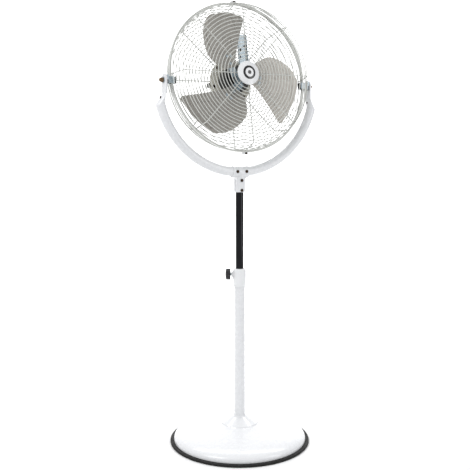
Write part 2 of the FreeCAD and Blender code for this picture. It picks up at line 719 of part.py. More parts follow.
def make_neck_screws():
    screws = []
    for x, z, seat in neck_screw_spots():
        length = 2 * seat + NECK_NUT_THICK + 1.5
        shank = cylinder(NECK_SCREW_RADIUS, length, Vec(x, -seat, z), Y_AXIS)
        head = dome(NECK_SCREW_HEAD, 1.2, NECK_SCREW_HEAD_THICK, Vec(x, -seat, z), -Y_AXIS)
        screws.append(shank.fuse(head))
    return screws


def make_neck_nuts():
    nuts = []
    for x, z, seat in neck_screw_spots():
        nut = hexagon(NECK_NUT_FLATS, NECK_NUT_THICK, Vec(x, seat, z), Y_AXIS)
        nuts.append(nut.cut(cylinder(NECK_SCREW_RADIUS, NECK_NUT_THICK, Vec(x, seat, z), Y_AXIS)))
    return nuts


# ---------------------------------------------------------------- head
# Head pieces are drawn with the tilt axis at the origin and the fan axis along Y,
# then tilted and lifted into place.

AXIS_POINT = Vec(0, 0, CAGE_RISE)


def place_head(shape):
    copy = shape.copy()
    copy.rotate(ORIGIN, X_AXIS, -TILT)
    copy.translate(Vec(0, 0, PIVOT_HEIGHT))
    return copy


def on_axis(y):
    return Vec(0, y, CAGE_RISE)


def polar(radius, degrees, y):
    """A point around the fan axis, angles counter-clockwise seen from the front."""
    angle = math.radians(degrees)
    return Vec(radius * math.cos(angle), y, CAGE_RISE + radius * math.sin(angle))


def offset_corner(inner, corner, outer, offset):
    """Moves a two-leg path sideways, towards the inside of the cage."""
    first = (corner - inner).normalize()
    second = (outer - corner).normalize()
    first_side = Vec(first.y, -first.x, 0)
    second_side = Vec(second.y, -second.x, 0)
    bisector = (first_side + second_side).normalize()
    reach = offset / bisector.dot(first_side)
    start = inner + first_side * offset
    bend = corner + bisector * reach
    end = outer + second_side * offset
    return start, bend, end


def cage_path(eye, centre, face, offset):
    """Wire centreline in (radius, distance from the rim), eye to rim, with a bend."""
    start = Vec(eye, centre, 0)
    corner = Vec(EDGE_RADIUS, face, 0)
    end = Vec(RIM_RADIUS, RIM_OFFSET, 0)
    return offset_corner(start, corner, end, offset)


def corner_arc(start, bend, end, radius):
    first = (bend - start).normalize()
    second = (end - bend).normalize()
    turn = math.acos(first.dot(second))
    trim = radius * math.tan(turn / 2)
    begin = bend - first * trim
    finish = bend + second * trim
    inward = (second - first).normalize()
    centre = bend + inward * (radius / math.cos(turn / 2))
    middle = centre - inward * radius
    return begin, middle, finish


def to_head(point, facing):
    """Turns (radius, distance from the rim) into a point above the fan axis."""
    return Vec(point.x, facing * point.y, CAGE_RISE)


def make_spoke(eye, centre, face, facing):
    offset = RING_WIRE + SPOKE_WIRE - WELD_DEPTH
    start, bend, end = cage_path(eye, centre, face, offset)
    begin, middle, finish = corner_arc(start, bend, end, CORNER_RADIUS - offset)
    points = [to_head(point, facing) for point in (start, begin, middle, finish, end)]
    edges = [Part.LineSegment(points[0], points[1]).toShape()]
    edges.append(Part.Arc(points[1], points[2], points[3]).toShape())
    edges.append(Part.LineSegment(points[3], points[4]).toShape())
    section = Part.Wire(Part.makeCircle(SPOKE_WIRE, points[0], points[1] - points[0]))
    return Part.Wire(edges).makePipeShell([section], True, False)


def wire_ring(radius, wire, centre):
    """A ring of six-sided wire as thick as the round wire it stands for."""
    points = []
    for step in range(6):
        angle = math.radians(60 * step)
        points.append((radius + wire * math.cos(angle), wire * math.sin(angle)))
    return lathe(points, centre, Y_AXIS)


def make_guard(eye, centre, face, ring_start, ring_count, facing):
    start, bend, end = cage_path(eye, centre, face, 0)
    begin, middle, finish = corner_arc(start, bend, end, CORNER_RADIUS)
    slope = (face - centre) / (EDGE_RADIUS - eye)
    spots = [(eye, centre, SPOKE_WIRE)]
    for step in range(ring_count):
        radius = ring_start + RING_PITCH * step
        spots.append((radius, centre + slope * (radius - eye), RING_WIRE))
    spots.append((middle.x, middle.y, RING_WIRE))
    for step in range(SIDE_RING_COUNT):
        share = (step + 0.75) / (SIDE_RING_COUNT + 0.6)
        spot = finish + (end - finish) * share
        spots.append((spot.x, spot.y, RING_WIRE))
    spots.append((RIM_RADIUS, RIM_OFFSET, RIM_WIRE))
    wires = []
    for radius, distance, wire in spots:
        wires.append(wire_ring(radius, wire, on_axis(facing * distance)))
    spoke = make_spoke(eye, centre, face, facing)
    for step in range(SPOKE_COUNT):
        wires.append(turned(spoke, AXIS_POINT, Y_AXIS, 360.0 / SPOKE_COUNT * step))
    return fuse(wires)


def hoop_outer():
    return RIM_RADIUS + RIM_WIRE + HOOP_WALL


def make_guard_hoop():
    outer = hoop_outer()
    inner = outer - HOOP_WALL
    lip = outer - HOOP_DEPTH
    half = HOOP_HALF_WIDTH
    points = [(outer, -half), (outer, half), (lip, half), (lip, half - HOOP_WALL)]
    points.append((inner, half - HOOP_WALL))
    points.append((inner, HOOP_WALL - half))
    points.append((lip, HOOP_WALL - half))
    points.append((lip, -half))
    return lathe(points, on_axis(0), Y_AXIS)


def clip_spots():
    return ((90.0, 1), (270.0, -1))


def make_hoop_clips():
    clips = []
    for angle, up in clip_spots():
        low = min(up * hoop_outer(), up * (hoop_outer() + CLIP_HEIGHT)) + CAGE_RISE
        high = max(up * hoop_outer(), up * (hoop_outer() + CLIP_HEIGHT)) + CAGE_RISE
        body = box(-CLIP_WIDTH / 2, CLIP_WIDTH / 2, -HOOP_HALF_WIDTH, HOOP_HALF_WIDTH, low - 0.5, high + 0.5)
        ring = cylinder(hoop_outer(), 2 * HOOP_HALF_WIDTH, on_axis(-HOOP_HALF_WIDTH), Y_AXIS)
        middle = (low + high) / 2
        hole = cylinder(CLIP_SCREW_RADIUS, 2 * HOOP_HALF_WIDTH, Vec(0, -HOOP_HALF_WIDTH, middle), Y_AXIS)
        clips.append(cut_all(body, [ring, hole]))
    return clips


def make_hoop_screws():
    screws = []
    for angle, up in clip_spots():
        middle = up * (hoop_outer() + CLIP_HEIGHT / 2) + CAGE_RISE
        start = Vec(0, -HOOP_HALF_WIDTH, middle)
        shank = cylinder(CLIP_SCREW_RADIUS, 2 * HOOP_HALF_WIDTH + 3, start, Y_AXIS)
        screws.append(shank.fuse(dome(CLIP_SCREW_HEAD, 1, 2.4, start, -Y_AXIS)))
    return screws


def cap_seat():
    return -FRONT_CENTRE - SPOKE_WIRE


def cap_plate_front():
    return -FRONT_CENTRE + RING_WIRE + 2 * SPOKE_WIRE - WELD_DEPTH


def make_centre_cap():
    cap = dome(CAP_RADIUS, CAP_EDGE, CAP_DEPTH, on_axis(cap_seat()), -Y_AXIS)
    length = cap_plate_front() - cap_seat()
    boss = cylinder(CAP_BOSS_RADIUS, length, on_axis(cap_seat()), Y_AXIS)
    bore = cylinder(CAP_SCREW_RADIUS, length + 4, on_axis(cap_seat() - 4), Y_AXIS)
    return cap.fuse(boss).cut(bore)


def make_cap_plate():
    return tube(CAP_PLATE_RADIUS, CAP_SCREW_RADIUS, CAP_PLATE_THICK, on_axis(cap_plate_front()), Y_AXIS)


def make_cap_screw():
    back = cap_plate_front() + CAP_PLATE_THICK
    shank = cylinder(CAP_SCREW_RADIUS, back - cap_seat() + 4, on_axis(cap_seat() - 4), Y_AXIS)
    return shank.fuse(dome(CAP_SCREW_HEAD, 1, 2.6, on_axis(back), Y_AXIS))


# ---------------------------------------------------------------- pivots

def tab_inner():
    return TAB_CENTRE - TAB_THICK / 2


def rubber_outer():
    return tab_inner() - FACE_GAP


def bracket_face():
    return rubber_outer() - RUBBER_THICK


def pivot_bolt_hole(side):
    return cylinder(PIVOT_BOLT_RADIUS, 60, Vec(side * (bracket_face() - 30), 0, 0), X_AXIS * side)


def both_sides(shape):
    return [shape, shape.mirror(ORIGIN, X_AXIS)]


def clamp_plate_start():
    return CLAMP_REACH + CLAMP_CAP_THICK


def clamp_block(start, end):
    """A layer of the clamp, as wide as the hoop."""
    return box(start, end, -HOOP_HALF_WIDTH, HOOP_HALF_WIDTH, -10, 10)


def make_pivot_brackets():
    face = bracket_face()
    plate = box(face - BRACKET_WALL, face, -BRACKET_HALF_DEPTH - BRACKET_WALL, BRACKET_HALF_DEPTH + BRACKET_WALL,
                -BRACKET_HALF_HEIGHT, BRACKET_HALF_HEIGHT)
    pieces = [plate]
    for way in (1, -1):
        low = min(way * BRACKET_HALF_DEPTH, way * (BRACKET_HALF_DEPTH + BRACKET_WALL))
        pieces.append(box(face - BRACKET_WALL, rubber_outer() - 0.5, low, low + BRACKET_WALL,
                          -1, BRACKET_HALF_HEIGHT))
        low = min(way * HOOP_HALF_WIDTH, way * (HOOP_HALF_WIDTH + BRACKET_WALL))
        pieces.append(box(clamp_plate_start(), face - 1, low, low + BRACKET_WALL, -10, 10))
    pieces.append(clamp_block(clamp_plate_start(), clamp_plate_start() + CLAMP_PLATE_THICK))
    return both_sides(fuse(pieces).cut(pivot_bolt_hole(1)))


def make_pivot_rubbers():
    face = bracket_face()
    outer = box(face, rubber_outer(), -BRACKET_HALF_DEPTH, BRACKET_HALF_DEPTH,
                -BRACKET_HALF_HEIGHT, BRACKET_HALF_HEIGHT - 1)
    outer = outer.cut(pivot_bolt_hole(1))
    back = face - BRACKET_WALL
    inner = clamp_block(hoop_outer() - 3, back)
    ring = cylinder(hoop_outer(), 4 * HOOP_HALF_WIDTH, on_axis(-2 * HOOP_HALF_WIDTH), Y_AXIS)
    head = cylinder(PIVOT_HEAD_RADIUS, PIVOT_HEAD_THICK, Vec(back - PIVOT_HEAD_THICK, 0, 0), X_AXIS)
    inner = cut_all(inner, [ring, head])
    lip = RIM_RADIUS - RIM_WIRE - PIN_GAP
    pad = clamp_block(clamp_plate_start() + CLAMP_PLATE_THICK, lip)
    pad = pad.common(cylinder(lip, 4 * HOOP_HALF_WIDTH, on_axis(-2 * HOOP_HALF_WIDTH), Y_AXIS))
    cap = clamp_block(CLAMP_REACH, clamp_plate_start())
    pieces = []
    for piece in (outer, inner, pad, cap):
        pieces += both_sides(piece)
    return pieces


def make_pivot_bolts():
    back = bracket_face() - BRACKET_WALL
    head = cylinder(PIVOT_HEAD_RADIUS, PIVOT_HEAD_THICK, Vec(back - PIVOT_HEAD_THICK, 0, 0), X_AXIS)
    head = head.common(box(0, 300, -HOOP_HALF_WIDTH, HOOP_HALF_WIDTH, -20, 20))
    end = nut_seat() + ACORN_HEX
    shank = cylinder(PIVOT_BOLT_RADIUS, end - back, Vec(back, 0, 0), X_AXIS)
    return both_sides(head.fuse(shank))


def washer_seat():
    return TAB_CENTRE + TAB_THICK / 2 + FACE_GAP


def nut_seat():
    return washer_seat() + PIVOT_WASHER_THICK


def make_pivot_washers():
    base = Vec(washer_seat(), 0, 0)
    return both_sides(tube(PIVOT_WASHER_RADIUS, PIVOT_BOLT_RADIUS, PIVOT_WASHER_THICK, base, X_AXIS))


def make_pivot_nuts():
    base = Vec(nut_seat(), 0, 0)
    nut = hexagon(ACORN_FLATS, ACORN_HEX, base, X_AXIS)
    crown = dome(ACORN_FLATS / 2 - 0.3, 1.5, ACORN_LENGTH - ACORN_HEX, base + X_AXIS * ACORN_HEX, X_AXIS)
    bore = cylinder(PIVOT_BOLT_RADIUS, ACORN_HEX, base, X_AXIS)
    return both_sides(nut.fuse(crown).cut(bore))


# ---------------------------------------------------------------- motor

def mount_back():
    """Back of the mount plate, against the inside of the rear spokes."""
    offset = RING_WIRE + 2 * SPOKE_WIRE - WELD_DEPTH
    return REAR_CENTRE - offset


def mount_front():
    return mount_back() - MOUNT_WALL


def housing_front():
    return REAR_CENTRE + SPOKE_WIRE


def make_motor_can():
    length = mount_front() - CAN_FRONT
    can = cylinder(CAN_RADIUS, length, on_axis(CAN_FRONT), Y_AXIS)
    nose = cylinder(NOSE_RADIUS, NOSE_LENGTH, on_axis(CAN_FRONT - NOSE_LENGTH), Y_AXIS)
    space = cylinder(CAN_RADIUS - CAN_WALL, length, on_axis(CAN_FRONT + CAN_WALL), Y_AXIS)
    pocket = cylinder(BEARING_RADIUS, NOSE_LENGTH, on_axis(CAN_FRONT - NOSE_LENGTH + CAN_WALL), Y_AXIS)
    hole = cylinder(SHAFT_RADIUS + 1, 20, on_axis(CAN_FRONT - NOSE_LENGTH), Y_AXIS)
    return cut_all(can.fuse(nose), [space, pocket, hole])


def front_bearing_start():
    return CAN_FRONT - NOSE_LENGTH + CAN_WALL


def rear_bearing_start():
    return mount_front() - BEARING_WIDTH


def make_bearings():
    bearings = []
    for start in (front_bearing_start(), rear_bearing_start()):
        bearings.append(tube(BEARING_RADIUS, SHAFT_RADIUS + PIN_GAP, BEARING_WIDTH, on_axis(start), Y_AXIS))
    return bearings


def make_stator():
    return tube(CAN_RADIUS - CAN_WALL, STATOR_BORE, STATOR_LENGTH, on_axis(STATOR_FRONT), Y_AXIS)


def make_windings():
    front = tube(WINDING_OUTER, WINDING_INNER, WINDING_DEPTH, on_axis(STATOR_FRONT - WINDING_DEPTH), Y_AXIS)
    rear = tube(WINDING_OUTER, WINDING_INNER, WINDING_DEPTH, on_axis(STATOR_FRONT + STATOR_LENGTH), Y_AXIS)
    return [front, rear]


def mount_screw_spots():
    pitch = 360.0 / MOUNT_SCREW_COUNT
    return [MOUNT_SCREW_START + pitch * step for step in range(MOUNT_SCREW_COUNT)]


def mount_drills():
    drills = []
    for angle in mount_screw_spots():
        base = polar(MOUNT_SCREW_CIRCLE, angle, 0)
        drills.append(cylinder(MOUNT_SCREW_RADIUS, HOUSING_LENGTH + 90, base, Y_AXIS))
    return drills


def make_mount_plate():
    plate = cylinder(MOUNT_RADIUS, MOUNT_WALL, on_axis(mount_front()), Y_AXIS)
    boss = cylinder(NOSE_RADIUS, BEARING_WIDTH, on_axis(rear_bearing_start()), Y_AXIS)
    pocket = cylinder(BEARING_RADIUS, BEARING_WIDTH, on_axis(rear_bearing_start()), Y_AXIS)
    hole = cylinder(SHAFT_RADIUS + 1, 20, on_axis(mount_front()), Y_AXIS)
    return cut_all(plate.fuse(boss), [pocket, hole] + mount_drills() + bracket_drills())


def make_mount_screws():
    screws = []
    length = housing_front() + HOUSING_WALL - mount_front()
    for angle in mount_screw_spots():
        shank = cylinder(MOUNT_SCREW_RADIUS, length, polar(MOUNT_SCREW_CIRCLE, angle, mount_front()), Y_AXIS)
        head = dome(MOUNT_SCREW_HEAD, 1, 2.8, polar(MOUNT_SCREW_CIRCLE, angle, mount_front()), -Y_AXIS)
        screws.append(shank.fuse(head))
    return screws


def make_rear_housing():
    start = housing_front()
    flange = cylinder(HOUSING_FLANGE, HOUSING_WALL, on_axis(start), Y_AXIS)
    cup = cylinder(HOUSING_RADIUS, HOUSING_LENGTH, on_axis(start), Y_AXIS)
    back = start + HOUSING_LENGTH
    rim = [edge for edge in cup.Edges if abs(edge.CenterOfMass.y - back) < 0.01 and edge.Closed]
    cup = cup.makeFillet(HOUSING_ROUND, rim)
    space = cylinder(HOUSING_RADIUS - HOUSING_WALL, HOUSING_LENGTH - HOUSING_WALL - 3, on_axis(start), Y_AXIS)
    taper = cylinder(HOUSING_RADIUS - HOUSING_ROUND, 3, on_axis(back - HOUSING_WALL - 3), Y_AXIS)
    stem = cylinder(SWITCH_STEM_RADIUS + FACE_GAP, 20, switch_point(back - 10), Y_AXIS)
    gland = cylinder(GLAND_RADIUS, GLAND_LENGTH, gland_point(HOUSING_RADIUS - 10), gland_direction())
    body = cut_all(flange.fuse(cup), [space, taper, stem, gland])
    return cut_all(body, mount_drills())


def switch_point(y):
    return Vec(0, y, CAGE_RISE - SWITCH_DROP)


def housing_inside_back():
    return housing_front() + HOUSING_LENGTH - HOUSING_WALL


def make_speed_switch():
    half = SWITCH_SIZE / 2
    back = housing_inside_back()
    centre = switch_point(0).z
    body = box(-half, half, back - SWITCH_DEPTH, back, centre - half, centre + half)
    stem = cylinder(SWITCH_STEM_RADIUS + PIN_GAP, SWITCH_DEPTH, switch_point(back - SWITCH_DEPTH + 4), Y_AXIS)
    return body.cut(stem)


def make_speed_dial():
    start = housing_inside_back() - SWITCH_DEPTH + 4 + FACE_GAP
    face = housing_inside_back() + HOUSING_WALL + FACE_GAP
    stem = cylinder(SWITCH_STEM_RADIUS, face - start, switch_point(start), Y_AXIS)
    skirt = cylinder(DIAL_RADIUS, 3, switch_point(face), Y_AXIS)
    body = cylinder(DIAL_RADIUS - 3, DIAL_LENGTH, switch_point(face), Y_AXIS)
    grip = box(-3.2, 3.2, face + 2, face + DIAL_LENGTH + 3,
               switch_point(0).z - DIAL_RADIUS + 3, switch_point(0).z + DIAL_RADIUS)
    return fuse([stem, skirt, body, grip])


def make_capacitor():
    width, depth, height = CAPACITOR_SIZE
    back = housing_inside_back()
    bottom = CAGE_RISE + CAPACITOR_SIDE - height / 2
    return box(-width / 2, width / 2, back - depth, back, bottom, bottom + height)


def gland_direction():
    angle = math.radians(GLAND_ANGLE)
    return Vec(math.cos(angle), 0, math.sin(angle))


def gland_point(reach):
    return on_axis(housing_front() + HOUSING_LENGTH / 2) + gland_direction() * reach


def make_cable_gland():
    start = HOUSING_RADIUS - 5
    body = cylinder(GLAND_RADIUS, GLAND_LENGTH, gland_point(start), gland_direction())
    collar = cylinder(GLAND_RADIUS + 2.5, 3, gland_point(HOUSING_RADIUS + 0.6), gland_direction())
    bore = cylinder(GLAND_BORE, GLAND_LENGTH, gland_point(start), gland_direction())
    return body.fuse(collar).cut(bore)


def make_side_bracket():
    """A folded strip from the motor plate up to the rings of the rear guard."""
    back = mount_front()
    front = back - BRACKET_SHEET
    slope = (REAR_FACE - REAR_CENTRE) / (EDGE_RADIUS - REAR_EYE)
    ring_front = REAR_CENTRE + slope * (math.hypot(BRACKET_TOP, BRACKET_SIDE) - REAR_EYE) - RING_WIRE
    left = BRACKET_SIDE - BRACKET_HALF_WIDTH
    right = BRACKET_SIDE + BRACKET_HALF_WIDTH
    bottom = BRACKET_BOTTOM
    top = BRACKET_TOP
    web = box(left, right, front, back, bottom, top)
    near = box(left, left + BRACKET_SHEET, back - BRACKET_FLANGE, back, bottom, top)
    far = box(right - BRACKET_SHEET, right, back - BRACKET_FLANGE, back, bottom, top)
    foot = box(left + 3, right - 3, front, ring_front, top - BRACKET_FOOT, top)
    bracket = fuse([web, near, far, foot])
    bracket.translate(AXIS_POINT)
    return cut_all(bracket, bracket_drills())


def bracket_screw_spots():
    start = mount_front() - BRACKET_SHEET
    return [Vec(side, start, CAGE_RISE + height) for side, height in BRACKET_SCREWS]


def bracket_drills():
    return [cylinder(BRACKET_SCREW_RADIUS, 7, spot, Y_AXIS) for spot in bracket_screw_spots()]


def make_bracket_screws():
    screws = []
    for spot in bracket_screw_spots():
        shank = cylinder(BRACKET_SCREW_RADIUS, 5, spot, Y_AXIS)
        screws.append(shank.fuse(dome(BRACKET_SCREW_HEAD, 1, 2.4, spot, -Y_AXIS)))
    return screws


# ---------------------------------------------------------------- fan

def blade_scale():
    return BLADE_TIP / BLADE_DRAWN_TIP


def scaled(points):
    return [(reach * blade_scale(), across * blade_scale()) for reach, across in points]


def blade_pitch(reach):
    share = (reach - BLADE_PITCH_START) / (BLADE_TIP - BLADE_PITCH_START)
    share = max(0.0, min(1.0, share))
    return math.radians(BLADE_ROOT_PITCH + (BLADE_TIP_PITCH - BLADE_ROOT_PITCH) * share)


def blade_height(reach, across):
    camber = BLADE_CAMBER * (1 - (across / 100.0) ** 2) * reach / BLADE_TIP
    return BLADE_PLANE - math.tan(blade_pitch(reach)) * across - camber


def blade_normal(reach, across):
    step = 0.5
    along = blade_height(reach + step, across) - blade_height(reach - step, across)
    over = blade_height(reach, across + step) - blade_height(reach, across - step)
    return Vec(along, -2 * step, over).normalize()


def blade_slab(front, back):
    """The twisted sheet between two distances from the back face of the blade."""
    reaches = [6 + 26 * blade_scale() * step for step in range(9)]
    acrosses = [-110 + 26 * step for step in range(9)]
    faces = []
    for offset in (front, back):
        rows = []
        for reach in reaches:
            row = []
            for across in acrosses:
                base = Vec(reach, blade_height(reach, across), across)
                row.append(base + blade_normal(reach, across) * offset)
            rows.append(row)
        surface = Part.BSplineSurface()
        surface.interpolate(rows)
        faces.append(surface.toShape())
    sides = []
    for first, second in zip(faces[0].Edges, faces[1].Edges):
        sides.append(Part.makeRuledSurface(first, second))
    shell = Part.makeShell(faces + sides)
    shell.sewShape()
    solid = Part.makeSolid(shell)
    if solid.Volume < 0:
        solid.reverse()
    return solid


def spline_edge(points):
    curve = Part.BSplineCurve()
    curve.interpolate([Vec(reach, 0, across) for reach, across in points])
    return curve.toShape()


def blade_outline():
    tip_low = math.radians(-24.5)
    tip_high = math.radians(2)
    low = (BLADE_TIP * math.cos(tip_low), BLADE_TIP * math.sin(tip_low))
    high = (BLADE_TIP * math.cos(tip_high), BLADE_TIP * math.sin(tip_high))
    corner = (BLADE_TIP * math.cos(math.radians(-28.5)) - 3, BLADE_TIP * math.sin(math.radians(-28.5)) + 1)
    root_low = (36, -4)
    root_high = (36, 36)
    narrow = [root_low] + scaled([(60, -13), (93, -34), (132, -64), (166, -92)])
    wide = scaled([(201, 44), (186, 62), (165, 76), (138, 86), (108, 90), (84, 88), (64, 76), (47, 58)])
    wide = [high] + wide + [root_high]
    edges = [spline_edge(narrow)]
    edges.append(spline_edge([narrow[-1], corner, low]))
    start = Vec(low[0], 0, low[1])
    end = Vec(high[0], 0, high[1])
    middle = (tip_low + tip_high) / 2
    through = Vec(BLADE_TIP * math.cos(middle), 0, BLADE_TIP * math.sin(middle))
    edges.append(Part.Arc(start, through, end).toShape())
    edges.append(spline_edge(wide))
    edges.append(Part.LineSegment(Vec(root_high[0], 0, root_high[1]), Vec(root_low[0], 0, root_low[1])).toShape())
    return Part.Wire(edges)


def rib_outline(scale):
    points = [(93, -16), (136, -40), (171, -65), (190, -58), (199, -24), (196, 20), (182, 49),
              (154, 68), (122, 73), (92, 62), (85, 28)]
    points = scaled(points)
    middle_reach = sum(point[0] for point in points) / len(points)
    middle_across = sum(point[1] for point in points) / len(points)
    places = []
    for reach, across in points:
        reach = middle_reach + (reach - middle_reach) * scale
        across = middle_across + (across - middle_across) * scale
        places.append(Vec(reach, 0, across))
    curve = Part.BSplineCurve()
    curve.interpolate(places, PeriodicFlag=True)
    return Part.Wire(curve.toShape())


def upright(wire):
    face = Part.Face(wire)
    face.translate(Vec(0, -90, 0))
    return face.extrude(Vec(0, 180, 0))


def make_blade():
    sheet = blade_slab(BLADE_THICK, 0).common(upright(blade_outline()))
    ring = upright(rib_outline(1.0)).cut(upright(rib_outline(RIB_WIDTH)))
    rib = blade_slab(BLADE_THICK + RIB_HEIGHT, BLADE_THICK / 2).common(ring)
    return cut_all(sheet.fuse(rib), rivet_holes())


def rivet_holes():
    holes = []
    for reach, across in RIVET_SPOTS:
        normal = blade_normal(reach, across)
        base = Vec(reach, blade_height(reach, across), across)
        holes.append(cylinder(RIVET_RADIUS + PIN_GAP, RIVET_HOLE, base - normal * (RIVET_HOLE / 2), normal))
    return holes


def make_rivets():
    rivets = []
    for reach, across in RIVET_SPOTS:
        normal = blade_normal(reach, across)
        base = Vec(reach, blade_height(reach, across), across)
        length = BLADE_THICK + ARM_PLATE_THICK + PIN_GAP
        shank = cylinder(RIVET_RADIUS, length, base - normal * ARM_PLATE_THICK, normal)
        front = dome(RIVET_RADIUS + 2, 0.6, 2, base + normal * (BLADE_THICK + PIN_GAP), normal)
        rivets.append(shank.fuse(front))
    return rivets


def place_blade(shape, index):
    """The first blade lies along +X before it is turned to its angle."""
    copy = shape.copy()
    copy.translate(AXIS_POINT)
    angle = BLADE_START + 360.0 / BLADE_COUNT * index
    copy.rotate(AXIS_POINT, Y_AXIS, -angle)
    return place_head(copy)


def make_fan_hub():
    core = cylinder(HUB_RADIUS, HUB_BACK - HUB_FRONT, on_axis(HUB_FRONT), Y_AXIS)
    strip = box(8, SPIDER_REACH, -90, 90, SPIDER_LOW, SPIDER_HIGH)
    arm = blade_slab(0, -ARM_PLATE_THICK).common(strip)
    arm = cut_all(arm, rivet_holes())
    arm.translate(AXIS_POINT)
    pieces = [core]
    for index in range(BLADE_COUNT):
        angle = BLADE_START + 360.0 / BLADE_COUNT * index
        pieces.append(turned(arm, AXIS_POINT, Y_AXIS, -angle))
    bore = cylinder(SHAFT_RADIUS, HUB_BACK - HUB_FRONT, on_axis(HUB_FRONT), Y_AXIS)
    return fuse(pieces).cut(bore)


def make_motor_shaft():
    return cylinder(SHAFT_RADIUS, mount_back() - 2 - SHAFT_FRONT, on_axis(SHAFT_FRONT), Y_AXIS)


def make_rotor_core():
    radius = STATOR_BORE - AIR_GAP
    return tube(radius, SHAFT_RADIUS, STATOR_LENGTH, on_axis(STATOR_FRONT), Y_AXIS)


# ---------------------------------------------------------------- build

def build_base():
    save("edge_trim", make_edge_trim())
    save("base_plate", make_base_plate())
    save("base_weight", make_base_weight())
    save_group("weight_screws", make_weight_screws())
    save("base_column", make_base_column())
    save("base_cover", make_base_cover())
    save("foot_washer", make_foot_washer())
    save("foot_bolt", make_foot_bolt())
    save("foot_ring", make_foot_ring())


def build_pole():
    save("outer_tube", make_outer_tube())
    save("tube_plug", make_tube_plug())
    save("clamp_collar", make_clamp_collar())
    save("collar_insert", make_collar_insert())
    save("clamp_pad", make_clamp_pad())
    save("knob_stud", make_knob_stud())
    save("knob_grip", make_knob_grip())
    save("guide_bush", make_guide_bush())
    save("bush_ring", make_bush_ring())
    save("tube_end", make_tube_end())
    save("inner_tube", make_inner_tube())
    front, rear = make_neck_bracket()
    save("neck_front", front)
    save("neck_rear", rear)
    save_group("neck_screws", make_neck_screws())
    save_group("neck_nuts", make_neck_nuts())
    save("yoke", make_yoke())
    save_group("yoke_rivets", make_yoke_rivets())


def save_head(name, shape):
    save(name, place_head(shape))


def save_head_group(name, shapes):
    save_group(name, [place_head(shape) for shape in shapes])


def build_cage():
    front = make_guard(FRONT_EYE, FRONT_CENTRE, FRONT_FACE, RING_START, RING_COUNT, -1)
    save_head("front_guard", front)
    rear = make_guard(REAR_EYE, REAR_CENTRE, REAR_FACE, REAR_RING_START, REAR_RING_COUNT, 1)
    save_head("rear_guard", rear)
    save_head("guard_hoop", make_guard_hoop())
    save_head_group("hoop_clips", make_hoop_clips())
    save_head_group("hoop_screws", make_hoop_screws())
    save_head("centre_cap", make_centre_cap())
    save_head("cap_plate", make_cap_plate())
    save_head("cap_screw", make_cap_screw())
    save_head_group("pivot_brackets", make_pivot_brackets())
    save_head_group("pivot_rubbers", make_pivot_rubbers())
    save_head_group("pivot_bolts", make_pivot_bolts())
    save_head_group("pivot_washers", make_pivot_washers())
    save_head_group("pivot_nuts", make_pivot_nuts())


def build_motor():
    save_head("motor_can", make_motor_can())
    save_head_group("bearings", make_bearings())
    save_head("stator", make_stator())
    save_head_group("windings", make_windings())
    save_head("mount_plate", make_mount_plate())
    save_head_group("mount_screws", make_mount_screws())
    save_head("side_bracket", make_side_bracket())
    save_head_group("bracket_screws", make_bracket_screws())
    save_head("rear_housing", make_rear_housing())
    save_head("speed_switch", make_speed_switch())
    save_head("speed_dial", make_speed_dial())
    save_head("capacitor", make_capacitor())
    save_head("cable_gland", make_cable_gland())


def build_fan():
    blade = make_blade()
    rivets = []
    for index, name in enumerate(("blade_a", "blade_b", "blade_c")):
        save(name, place_blade(blade, index))
        for rivet in make_rivets():
            rivets.append(place_blade(rivet, index))
    save_group("blade_rivets", rivets)
    save_head("fan_hub", make_fan_hub())
    save_head("motor_shaft", make_motor_shaft())
    save_head("rotor_core", make_rotor_core())


os.makedirs("parts", exist_ok=True)
build_base()
build_pole()
build_cage()
build_motor()
build_fan()
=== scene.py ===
import json
import math

import bmesh
import bpy
from mathutils import Matrix, Vector


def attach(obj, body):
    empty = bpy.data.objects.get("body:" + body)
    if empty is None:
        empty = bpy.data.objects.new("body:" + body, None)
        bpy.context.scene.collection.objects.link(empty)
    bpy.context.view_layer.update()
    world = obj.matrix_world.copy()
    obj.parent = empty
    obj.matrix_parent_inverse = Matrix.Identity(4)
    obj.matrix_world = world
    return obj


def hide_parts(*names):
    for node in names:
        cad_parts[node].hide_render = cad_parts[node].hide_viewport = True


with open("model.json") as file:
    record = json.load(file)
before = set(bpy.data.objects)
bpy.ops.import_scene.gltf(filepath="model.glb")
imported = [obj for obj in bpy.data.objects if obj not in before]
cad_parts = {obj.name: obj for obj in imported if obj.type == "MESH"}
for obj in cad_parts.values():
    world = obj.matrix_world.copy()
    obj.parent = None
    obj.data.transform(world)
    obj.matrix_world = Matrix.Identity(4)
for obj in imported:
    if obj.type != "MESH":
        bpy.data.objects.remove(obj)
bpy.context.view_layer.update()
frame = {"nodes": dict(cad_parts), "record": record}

NODES = frame["nodes"]

# The head's own frame: it leans back by TILT about the pivots, which are PIVOT_Z above the
# floor, and the middle of the cage sits CAGE_RISE above that axis. Lengths are in metres.
TILT = math.radians(9.6)
PIVOT_Z = 1.148
CAGE_RISE = 0.018


# ---------------------------------------------------------------- materials

NOISE_LOW = 0.3          # range that the noise texture mostly stays in
NOISE_HIGH = 0.7
SPOTS_PER_PATCH = 5.0    # gloss varies over smaller spots than colour does

def node_material(name):
    mat = bpy.data.materials.new(name)
    mat.use_nodes = True
    tree = mat.node_tree
    bsdf = tree.nodes["Principled BSDF"]
    coords = tree.nodes.new("ShaderNodeTexCoord")
    return mat, tree, bsdf, coords.outputs["Object"]


def noise(tree, vector, scale, detail, rough, stretch=None):
    if stretch is not None:
        mapping = tree.nodes.new("ShaderNodeMapping")
        mapping.inputs["Scale"].default_value = stretch
        tree.links.new(vector, mapping.inputs["Vector"])
        vector = mapping.outputs["Vector"]
    tex = tree.nodes.new("ShaderNodeTexNoise")
    tex.inputs["Scale"].default_value = scale
    tex.inputs["Detail"].default_value = detail
    tex.inputs["Roughness"].default_value = rough
    tree.links.new(vector, tex.inputs["Vector"])
    return tex.outputs["Fac"]


